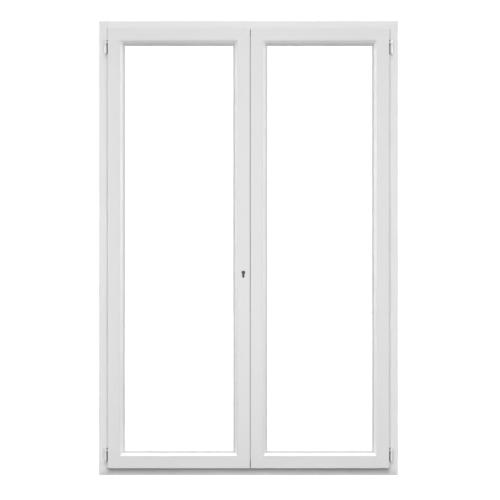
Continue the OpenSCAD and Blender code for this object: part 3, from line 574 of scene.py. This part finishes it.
def dress_screws(finishes):
    """Screw heads with a cross recess, where the part has plain studs."""
    plate_screws = lumps("faceplate_screws", PLATE_SCREW_REACH)
    low, high = plate_screws[0]
    heads = [(high + low) / 2 for low, high in plate_screws]
    plate = cross_screws("faceplate_screw_heads", "left_leaf", heads, FACING_X,
                         (high.z - low.z) / 2, high.x - low.x, finishes)
    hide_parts("faceplate_screws")

    keeps_low, keeps_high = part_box("bolt_keeps")
    halfway = (keeps_low.z + keeps_high.z) / 2
    shanks = lumps("keep_screws", KEEP_SCREW_REACH)
    for name, turn, chosen in (
            ("sill", FACING_UP, [s for s in shanks if s[0].z < halfway]),
            ("head", FACING_DOWN, [s for s in shanks if s[0].z > halfway])):
        low, high = chosen[0]
        piece = cross_screws(name + "_keep_screw_heads", "root",
                             [(high + low) / 2 for low, high in chosen], turn,
                             (high.x - low.x) / 2, high.z - low.z, finishes)
        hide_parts("keep_screws")

    low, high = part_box("deadbolt_keep")
    middle = (low + high) / 2
    places = [(low.x, middle.y, z) for z in (low.z + KEEP_HEAD_INSET, high.z - KEEP_HEAD_INSET)]
    cross_screws("deadbolt_keep_screws", "right_leaf", places, FACING_BACK_X, KEEP_HEAD_RADIUS,
                 KEEP_HEAD_HEIGHT, finishes)


KNUCKLE_REACH = 60 * MM      # taller than one knuckle, and less than the gap to the next
BARREL_RADIUS = 6.0 * MM
END_CAP_RADIUS = 0.84 * BARREL_RADIUS
END_CAP_HEIGHT = 1.3 * MM    # of the dome above the barrel's end


def dress_hinges(finishes):
    """Domed end caps on the barrels: the lower one on the frame, the upper one on the leaf."""
    for node, body, top in (("frame_knuckles", "root", False),
                            ("left_knuckles", "left_leaf", True),
                            ("right_knuckles", "right_leaf", True)):
        places = []
        for low, high in lumps(node, KNUCKLE_REACH):
            outer_x = low.x + BARREL_RADIUS if low.x < 0 else high.x - BARREL_RADIUS
            places.append((outer_x, low.y + BARREL_RADIUS, high.z if top else low.z))
        piece = grow(node + "_end_caps", "domed_caps", places, [], {
            "Radius": END_CAP_RADIUS, "Height": END_CAP_HEIGHT, "Turn": FACING_UP,
            "Finish": finishes["hinge_finish"]})
        settle(piece, body)


SPACER_WIDTH = 11.0 * MM
HOLES_FROM_END = 20 * MM     # first and last breathing hole, from the spacer's inner corners
HOLE_PITCH = 9 * MM
HOLE_RADIUS = 0.7 * MM
HOLE_THICKNESS = 0.2 * MM
HOLE_LIFT = 0.05 * MM        # middle of a hole's disc, off the spacer's inner face


def dress_spacers(finishes):
    """Breathing holes along the inner faces of the spacer bars between the panes."""
    for side in ("left", "right"):
        low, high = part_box(side + "_spacer")
        y = (low.y + high.y) / 2
        inset = SPACER_WIDTH + HOLE_LIFT
        west, east = low.x + inset, high.x - inset
        south, north = low.z + inset, high.z - inset
        ends = HOLES_FROM_END
        runs = {"upright": (FACING_X, [(west, y, south + ends), (west, y, north - ends),
                                       (east, y, south + ends), (east, y, north - ends)]),
                "level": (FACING_UP, [(west + ends, y, south), (east - ends, y, south),
                                      (west + ends, y, north), (east - ends, y, north)])}
        for run, (turn, corners) in runs.items():
            piece = grow(f"{side}_{run}_spacer_holes", "spaced_holes", corners,
                         [(0, 1), (2, 3)], {
                             "Pitch": HOLE_PITCH, "Radius": HOLE_RADIUS,
                             "Thickness": HOLE_THICKNESS, "Turn": turn,
                             "Finish": finishes["block_plastic"]})
            settle(piece, side + "_leaf")


TAB_FROM_TIP = 180.0 * MM    # a flush bolt's thumb tab, from the bolt's tip
TAB_HEIGHT = 14.0 * MM
RIB_COUNT = 5
RIB_PROUD = 0.5 * MM         # a rib's size across the tab's face, half of it sunk
RIB_SPAN = 0.7               # a rib's length, as a part of the bolt's width
RIB_WIDTH = 0.25             # a rib's width, as a part of the pitch


def dress_flush_bolts(finishes):
    """Thumb ribs across the tabs of the flush bolts."""
    pitch = TAB_HEIGHT / (RIB_COUNT + 1)
    for which in ("top", "bottom"):
        low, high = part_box(which + "_flush_bolt")
        middle_y = (low.y + high.y) / 2
        top_tab = high.z - TAB_FROM_TIP - TAB_HEIGHT
        tab_low = top_tab if which == "top" else low.z + TAB_FROM_TIP
        ribs = [(low.x, middle_y, tab_low + pitch * (i + 1)) for i in range(RIB_COUNT)]
        piece = grow(which + "_bolt_thumb_ribs", "small_blocks", ribs, [], {
            "Size": (RIB_PROUD, RIB_SPAN * (high.y - low.y), RIB_WIDTH * pitch),
            "Finish": finishes["lock_steel"]})
        settle(piece, which + "_flush_bolt")


# The weather bar's section, as parts of its depth and height, from its lower inner corner
WEATHER_SECTION = [(0.0, 0.0), (0.87, 0.0), (0.87, 0.1), (0.73, 0.1), (0.73, 0.25), (1.0, 0.25),
                   (1.0, 0.45), (0.13, 1.0), (0.0, 1.0)]
WEATHER_CAP = 1.5 * MM       # thickness of the plates on its ends


def end_plate(name, low, high, x_from, x_to, finish_material):
    """A plate that closes the end of a weather bar."""
    size = high - low
    outline = [(low.y + d * size.y, low.z + h * size.z) for d, h in WEATHER_SECTION]
    made = bmesh.new()
    face = made.faces.new([made.verts.new((x_from, y, z)) for y, z in outline])
    lifted = bmesh.ops.extrude_face_region(made, geom=[face])["geom"]
    bmesh.ops.translate(made, vec=(x_to - x_from, 0, 0),
                        verts=[v for v in lifted if isinstance(v, bmesh.types.BMVert)])
    bmesh.ops.recalc_face_normals(made, faces=made.faces)
    mesh = bpy.data.meshes.new(name)
    made.to_mesh(mesh)
    made.free()
    mesh.materials.append(finish_material)
    piece = bpy.data.objects.new(name, mesh)
    bpy.context.scene.collection.objects.link(piece)
    return piece


def dress_weather_bars(finishes):
    """A cap on each end of both weather bars."""
    for side in ("left", "right"):
        low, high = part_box(side + "_weather_bar")
        for end, x, way in (("west", low.x, -1), ("east", high.x, 1)):
            piece = end_plate(f"{side}_weather_bar_{end}_cap", low, high, x,
                              x + way * WEATHER_CAP, finishes["nylon"])
            settle(piece, side + "_leaf")


# ---------- Stage ----------

FLOOR_REACH = 30.0           # from the doors to each side of the floor
FLOOR_TONE = 0.32
FLOOR_ROUGHNESS = 0.9
FLOOR_GLOW = 1.25            # brightness that the floor adds of itself, to the eye

ROOM_SEEN = 1.4              # brightness of the room to the eye and through the glass
ROOM_LIGHT = 0.36            # brightness of the room as a light
ROOM_GLOSS = 0.5             # brightness of the room in glossy reflections
GLOSS_WALLS = 9.0            # extra brightness of walls and ceiling in glossy reflections

SUN_DISTANCE = 5.0
SUN_WIDTH = 28.0             # degrees across: wider gives softer shadows
KEY_RISE = 53.0              # degrees above the level
KEY_STRENGTH = 1.4
BACK_PLACE = (1.5, 4.0, 2.5)  # the weak sun behind the doors
BACK_AIM = (0.0, 0.0, 1.0)
BACK_STRENGTH = 0.5

MIDDLE_POWER = 11.5          # the two tall lamps in front of the meeting stiles
MIDDLE_HEIGHT = 1.0
MIDDLE_DISTANCE = 1.35       # from the frame's room face
MIDDLE_OFFSET = 0.03         # of each lamp from the middle
MIDDLE_WIDTH = 0.12
MIDDLE_LENGTH = 3.0
MIDDLE_TURN = 70.0           # degrees outwards from straight at the doors


def ray_kinds(tree):
    """Two masks: rays that gather light on a dull surface, and rays mirrored by a gloss."""
    ray = add_node(tree, "ShaderNodeLightPath").outputs
    mirrored = calculate(tree, "SUBTRACT", ray["Is Glossy Ray"], ray["Is Transmission Ray"])
    return ray["Is Diffuse Ray"], calculate(tree, "MAXIMUM", mirrored, 0.0)


def set_floor():
    """A pale floor that glows a little to the eye but not on to the doors. Its triangles meet
    under the middle of the doors, so that both leaves are lit alike."""
    reach = FLOOR_REACH
    mesh = bpy.data.meshes.new("floor")
    mesh.from_pydata([(-reach, -reach, 0), (reach, -reach, 0), (reach, reach, 0),
                      (-reach, reach, 0), (0, 0, 0)], [],
                     [(0, 1, 4), (1, 2, 4), (2, 3, 4), (3, 0, 4)])
    pale = bpy.data.materials.new("pale_floor")
    pale.use_nodes = True
    tree = pale.node_tree
    shader = tree.nodes["Principled BSDF"]
    shader.inputs["Base Color"].default_value = rgba(FLOOR_TONE)
    shader.inputs["Roughness"].default_value = FLOOR_ROUGHNESS
    shader.inputs["Emission Color"].default_value = rgba(1.0)
    diffuse, mirrored = ray_kinds(tree)
    seen = calculate(tree, "SUBTRACT", 1.0, calculate(tree, "MAXIMUM", diffuse, mirrored))
    glow = calculate(tree, "MULTIPLY", seen, FLOOR_GLOW)
    tree.links.new(glow, shader.inputs["Emission Strength"])
    mesh.materials.append(pale)
    floor = bpy.data.objects.new("floor", mesh)
    bpy.context.scene.collection.objects.link(floor)


def add_lamp(name, kind, place, aim, **settings):
    """A lamp turned to its aim, that is seen neither by the eye nor in glass or gloss."""
    lamp = bpy.data.lights.new(name, kind)
    for setting, value in settings.items():
        setattr(lamp, setting, value)
    holder = bpy.data.objects.new(name, lamp)
    holder.location = place
    holder.rotation_euler = (Vector(aim) - Vector(place)).to_track_quat("-Z", "Y").to_euler()
    for unseen_by in ("visible_camera", "visible_transmission", "visible_glossy"):
        setattr(holder, unseen_by, False)
    bpy.context.scene.collection.objects.link(holder)


def set_lamps():
    """A wide soft light from above and in front, two tall ones close to the middle that are
    turned outwards, so that both stiles of a leaf get as much, and a weak one from behind."""
    rise = math.radians(KEY_RISE)
    key_place = (0.0, -SUN_DISTANCE * math.cos(rise), SUN_DISTANCE * math.sin(rise))
    add_lamp("key", "SUN", key_place, (0.0, 0.0, 0.0), energy=KEY_STRENGTH,
             angle=math.radians(SUN_WIDTH))
    turn = math.radians(MIDDLE_TURN)
    for side in (-1, 1):
        place = Vector((MIDDLE_OFFSET * side, ROOM_FACE_Y - MIDDLE_DISTANCE, MIDDLE_HEIGHT))
        aim = place + Vector((side * math.sin(turn), math.cos(turn), 0.0))
        add_lamp("middle", "AREA", place, aim, shape="RECTANGLE", size=MIDDLE_WIDTH,
                 size_y=MIDDLE_LENGTH, energy=MIDDLE_POWER)
    add_lamp("back", "SUN", BACK_PLACE, BACK_AIM, energy=BACK_STRENGTH,
             angle=math.radians(SUN_WIDTH))


def set_room():
    """A bright white room: brighter to look at than the light that it gives, with bright
    walls and a bright ceiling in the gloss of the doors."""
    world = bpy.data.worlds.new("white_room")
    world.use_nodes = True
    tree = world.node_tree
    backdrop = tree.nodes["Background"]
    backdrop.inputs["Color"].default_value = rgba(1.0)
    diffuse, mirrored = ray_kinds(tree)
    towards = add_node(tree, "ShaderNodeTexCoord").outputs["Generated"]
    split = add_node(tree, "ShaderNodeSeparateXYZ", {0: towards}).outputs
    sideways = calculate(tree, "POWER", calculate(tree, "ABSOLUTE", split["X"]), 4.0)
    upwards = calculate(tree, "POWER", calculate(tree, "MAXIMUM", split["Z"], 0.0), 2.0)
    gloss = calculate(tree, "MULTIPLY", mirrored,
                      calculate(tree, "MULTIPLY", GLOSS_WALLS,
                                calculate(tree, "ADD", sideways, upwards)))
    dimmed = calculate(tree, "SUBTRACT", ROOM_SEEN, calculate(
        tree, "ADD", calculate(tree, "MULTIPLY", diffuse, ROOM_SEEN - ROOM_LIGHT),
        calculate(tree, "MULTIPLY", mirrored, ROOM_SEEN - ROOM_GLOSS)))
    tree.links.new(calculate(tree, "ADD", dimmed, gloss), backdrop.inputs["Strength"])
    bpy.context.scene.world = world


# ---------- Everything in its order ----------

for leftover in list(bpy.data.objects):
    bpy.data.objects.remove(leftover)
set_camera()
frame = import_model()

build_effects()
finishes = build_finishes()
dress_nodes(finishes)

build_trees()
dress_screws(finishes)
dress_hinges(finishes)
dress_spacers(finishes)
dress_flush_bolts(finishes)
dress_weather_bars(finishes)

set_floor()
set_lamps()
set_room()
bpy.context.scene.view_settings.view_transform = "Standard"
